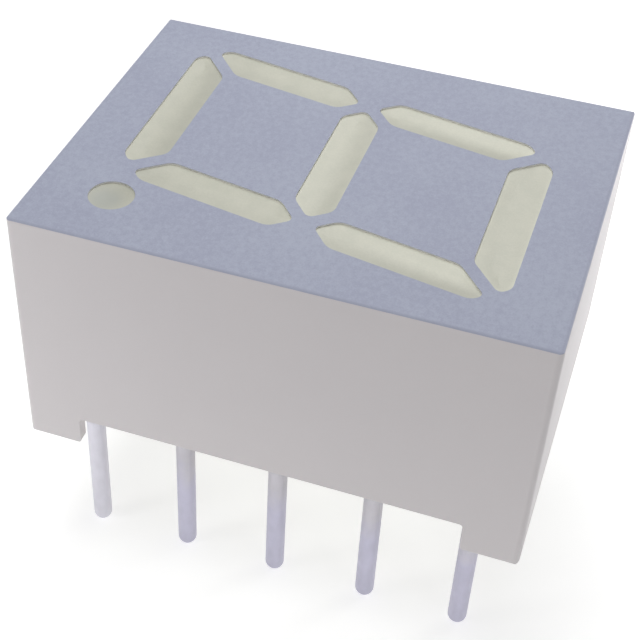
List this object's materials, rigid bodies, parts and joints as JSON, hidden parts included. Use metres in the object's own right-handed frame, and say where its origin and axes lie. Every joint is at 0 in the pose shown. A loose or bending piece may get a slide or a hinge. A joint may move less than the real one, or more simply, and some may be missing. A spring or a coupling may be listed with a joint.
{
  "type": "seven segment display",
  "caption": "Seven segment display with decimal point: white reflector housing, resin light pipes and round pins for a circuit board.",
  "frame": {"origin": "middle of the pin pattern, in the plane that the feet stand on", "axes": "+X to the digit's right, +Y to the digit's top, +Z out of the face"},
  "size_m": [0.0098, 0.0128, 0.0108],
  "materials": {
    "housing_white": "satin moulded plastic",
    "face_grey": "matt printed coat",
    "resin": "milky cast resin",
    "board_laminate": "glass laminate",
    "copper": "etched foil",
    "solder": "bright solder",
    "silver_glue": "matt silver-filled glue",
    "tinned_pin": "tinned wire",
    "chip_crystal": "cut crystal",
    "gold_wire": "drawn gold wire"
  },
  "bodies": {
    "root": {"housing": "housing_white", "face_coat": "face_grey", "epoxy_fill": "resin", "circuit_board": "board_laminate", "front_copper": "copper", "back_copper": "copper", "solder_joints": "solder", "chip_glue": "silver_glue", "pin_1": "tinned_pin", "pin_2": "tinned_pin", "pin_3": "tinned_pin", "pin_4": "tinned_pin", "pin_5": "tinned_pin", "pin_6": "tinned_pin", "pin_7": "tinned_pin", "pin_8": "tinned_pin", "pin_9": "tinned_pin", "pin_10": "tinned_pin", "led_chip_a": "chip_crystal", "led_chip_b": "chip_crystal", "led_chip_c": "chip_crystal", "led_chip_d": "chip_crystal", "led_chip_e": "chip_crystal", "led_chip_f": "chip_crystal", "led_chip_g": "chip_crystal", "led_chip_point": "chip_crystal", "bond_wire_a": "gold_wire", "bond_wire_b": "gold_wire", "bond_wire_c": "gold_wire", "bond_wire_d": "gold_wire", "bond_wire_e": "gold_wire", "bond_wire_f": "gold_wire", "bond_wire_g": "gold_wire", "bond_wire_point": "gold_wire"}
  },
  "joints": []
}
